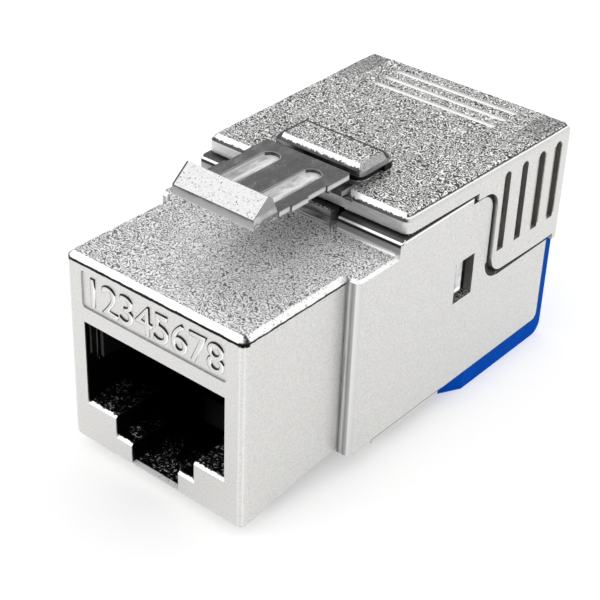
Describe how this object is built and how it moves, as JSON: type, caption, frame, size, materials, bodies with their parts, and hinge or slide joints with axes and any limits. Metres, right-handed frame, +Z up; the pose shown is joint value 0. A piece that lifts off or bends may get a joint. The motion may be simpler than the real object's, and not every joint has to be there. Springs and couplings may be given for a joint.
{
  "type": "keystone jack",
  "caption": "Shielded modular keystone jack: plated cast housing with a plug port, sprung panel latch, sliding rear cap and blue wire manager.",
  "frame": {"origin": "middle of the lower front edge of the port face, which is the datum of the panel mount", "axes": "+X to the right as seen from the plug, +Y from the port face to the cable, +Z up to the latch"},
  "size_m": [0.018, 0.0336, 0.0206],
  "materials": {
    "plated_casting": "nickel-plated zinc casting, satin sides and grained tops",
    "clear_plastic": "smoky clear polycarbonate",
    "blue_plastic": "fine satin",
    "black_plastic": "fine satin",
    "board_laminate": "satin solder mask",
    "spring_steel": "bright strip",
    "gold_contact": "gold-plated wire",
    "tinned_bronze": "tin-plated bronze strip"
  },
  "bodies": {
    "housing": {"front_housing": "plated_casting", "contact_insert": "black_plastic", "circuit_board": "board_laminate", "pair_shield": "plated_casting", "idc_contact_1": "tinned_bronze", "idc_contact_2": "tinned_bronze", "idc_contact_3": "tinned_bronze", "idc_contact_4": "tinned_bronze", "idc_contact_5": "tinned_bronze", "idc_contact_6": "tinned_bronze", "idc_contact_7": "tinned_bronze", "idc_contact_8": "tinned_bronze", "idc_tower_1": "black_plastic", "idc_tower_2": "black_plastic", "idc_tower_3": "black_plastic", "idc_tower_4": "black_plastic"},
    "rear_cap": {"rear_cover": "plated_casting", "wire_manager": "blue_plastic"},
    "latch": {"latch_tab": "clear_plastic"},
    "ground_left": {"ground_spring_left": "spring_steel"},
    "ground_right": {"ground_spring_right": "spring_steel"},
    "screen_contact": {"screen_spring": "spring_steel"},
    "contact_1": {"contact_spring_1": "gold_contact"},
    "contact_2": {"contact_spring_2": "gold_contact"},
    "contact_3": {"contact_spring_3": "gold_contact"},
    "contact_4": {"contact_spring_4": "gold_contact"},
    "contact_5": {"contact_spring_5": "gold_contact"},
    "contact_6": {"contact_spring_6": "gold_contact"},
    "contact_7": {"contact_spring_7": "gold_contact"},
    "contact_8": {"contact_spring_8": "gold_contact"}
  },
  "joints": [
    {"name": "rear_cap_slide", "type": "slide", "parent": "housing", "child": "rear_cap", "axis": [0, 1, 0], "range_m": [0, 0.02]},
    {"name": "latch_flex", "type": "hinge", "parent": "rear_cap", "child": "latch", "pos_m": [0, 0.015, 0.0171], "axis": [1, 0, 0], "range_deg": [0, 10], "stiffness_Nm_per_rad": 0.45},
    {"name": "ground_left_flex", "type": "hinge", "parent": "housing", "child": "ground_left", "pos_m": [-0.00635, 0.0095, 0.00805], "axis": [0, 0, -1], "range_deg": [0, 4], "stiffness_Nm_per_rad": 0.1},
    {"name": "ground_right_flex", "type": "hinge", "parent": "housing", "child": "ground_right", "pos_m": [0.00635, 0.0095, 0.00805], "axis": [0, 0, 1], "range_deg": [0, 4], "stiffness_Nm_per_rad": 0.1},
    {"name": "screen_contact_flex", "type": "hinge", "parent": "rear_cap", "child": "screen_contact", "pos_m": [0, 0.03, 0.01583], "axis": [1, 0, 0], "range_deg": [0, 5], "stiffness_Nm_per_rad": 0.2},
    {"name": "contact_1_flex", "type": "hinge", "parent": "housing", "child": "contact_1", "pos_m": [-0.00356, 0.0153, 0.0087], "axis": [-1, 0, 0], "range_deg": [0, 5], "stiffness_Nm_per_rad": 0.1},
    {"name": "contact_2_flex", "type": "hinge", "parent": "housing", "child": "contact_2", "pos_m": [-0.00254, 0.0153, 0.0075], "axis": [-1, 0, 0], "range_deg": [0, 5], "stiffness_Nm_per_rad": 0.1},
    {"name": "contact_3_flex", "type": "hinge", "parent": "housing", "child": "contact_3", "pos_m": [-0.00152, 0.0153, 0.0087], "axis": [-1, 0, 0], "range_deg": [0, 5], "stiffness_Nm_per_rad": 0.1},
    {"name": "contact_4_flex", "type": "hinge", "parent": "housing", "child": "contact_4", "pos_m": [-0.00051, 0.0153, 0.0075], "axis": [-1, 0, 0], "range_deg": [0, 5], "stiffness_Nm_per_rad": 0.1},
    {"name": "contact_5_flex", "type": "hinge", "parent": "housing", "child": "contact_5", "pos_m": [0.00051, 0.0153, 0.0087], "axis": [-1, 0, 0], "range_deg": [0, 5], "stiffness_Nm_per_rad": 0.1},
    {"name": "contact_6_flex", "type": "hinge", "parent": "housing", "child": "contact_6", "pos_m": [0.00152, 0.0153, 0.0075], "axis": [-1, 0, 0], "range_deg": [0, 5], "stiffness_Nm_per_rad": 0.1},
    {"name": "contact_7_flex", "type": "hinge", "parent": "housing", "child": "contact_7", "pos_m": [0.00254, 0.0153, 0.0087], "axis": [-1, 0, 0], "range_deg": [0, 5], "stiffness_Nm_per_rad": 0.1},
    {"name": "contact_8_flex", "type": "hinge", "parent": "housing", "child": "contact_8", "pos_m": [0.00356, 0.0153, 0.0075], "axis": [-1, 0, 0], "range_deg": [0, 5], "stiffness_Nm_per_rad": 0.1}
  ]
}
